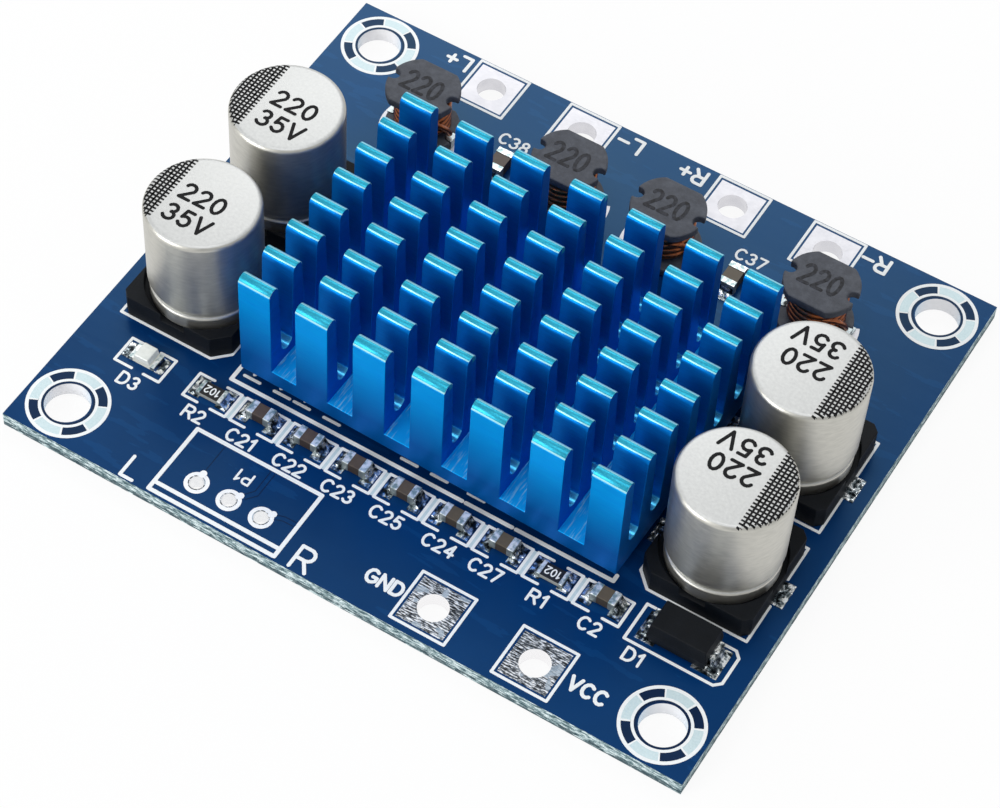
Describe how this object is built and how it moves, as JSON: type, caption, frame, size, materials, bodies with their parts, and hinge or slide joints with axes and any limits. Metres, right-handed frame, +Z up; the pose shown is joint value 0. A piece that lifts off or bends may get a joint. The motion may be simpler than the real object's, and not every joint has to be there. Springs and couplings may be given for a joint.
{
  "type": "audio amplifier board",
  "caption": "Stereo audio amplifier board with a blue pin-fin heatsink on its chip, upright capacitor cans, drum inductors, wire pads and corner mounting holes.",
  "frame": {"origin": "middle of the circuit board's underside", "axes": "+X along the front edge towards the power pads, +Y from the front edge to the speaker pads, +Z up out of the component side"},
  "size_m": [0.0512, 0.044, 0.012],
  "materials": {
    "board": "gloss blue solder mask on a woven glass laminate",
    "tinned_copper": "bright hot-tinned copper",
    "lead_metal": "tinned lead frame",
    "moulding": "matt black moulded epoxy",
    "adhesive": "white thermal adhesive",
    "blue_anodised": "satin blue anodised extrusion",
    "base_plastic": "satin black plastic",
    "can_aluminium": "satin drawn aluminium",
    "ferrite": "dull dark grey ferrite",
    "copper_wire": "enamelled copper wire",
    "resistor_glaze": "black glaze on white ceramic",
    "capacitor_ceramic": "fired brown ceramic",
    "end_metal": "tinned end caps",
    "indicator_plate": "white carrier plate",
    "indicator_lens": "clear moulded lens",
    "solder": "bright reflowed solder"
  },
  "bodies": {
    "root": {"circuit_board": "board", "speaker_pads": "tinned_copper", "power_pads": "tinned_copper", "header_pads": "tinned_copper", "amplifier_chip_leads": "lead_metal", "diode_leads": "lead_metal", "capacitor_leads_front_left": "lead_metal", "capacitor_leads_front_right": "lead_metal", "capacitor_leads_rear_left": "lead_metal", "capacitor_leads_rear_right": "lead_metal", "inductor_terminals_left_outer": "lead_metal", "inductor_terminals_left_inner": "lead_metal", "inductor_terminals_right_inner": "lead_metal", "inductor_terminals_right_outer": "lead_metal", "amplifier_chip": "moulding", "diode_body": "moulding", "thermal_adhesive": "adhesive", "heatsink": "blue_anodised", "capacitor_base_front_left": "base_plastic", "capacitor_base_front_right": "base_plastic", "capacitor_base_rear_left": "base_plastic", "capacitor_base_rear_right": "base_plastic", "capacitor_can_front_left": "can_aluminium", "capacitor_can_front_right": "can_aluminium", "capacitor_can_rear_left": "can_aluminium", "capacitor_can_rear_right": "can_aluminium", "inductor_core_left_outer": "ferrite", "inductor_core_left_inner": "ferrite", "inductor_core_right_inner": "ferrite", "inductor_core_right_outer": "ferrite", "inductor_winding_left_outer": "copper_wire", "inductor_winding_left_inner": "copper_wire", "inductor_winding_right_inner": "copper_wire", "inductor_winding_right_outer": "copper_wire", "chip_resistor_1": "resistor_glaze", "chip_resistor_2": "resistor_glaze", "chip_capacitor_1": "capacitor_ceramic", "chip_capacitor_2": "capacitor_ceramic", "chip_capacitor_3": "capacitor_ceramic", "chip_capacitor_4": "capacitor_ceramic", "chip_capacitor_5": "capacitor_ceramic", "chip_capacitor_6": "capacitor_ceramic", "chip_capacitor_7": "capacitor_ceramic", "filter_capacitor_left": "capacitor_ceramic", "filter_capacitor_right": "capacitor_ceramic", "bootstrap_capacitors": "capacitor_ceramic", "chip_part_ends": "end_metal", "filter_capacitor_ends": "end_metal", "bootstrap_capacitor_ends": "end_metal", "indicator_ends": "end_metal", "indicator_plate": "indicator_plate", "indicator_lens": "indicator_lens", "solder_fillets": "solder"}
  },
  "joints": []
}
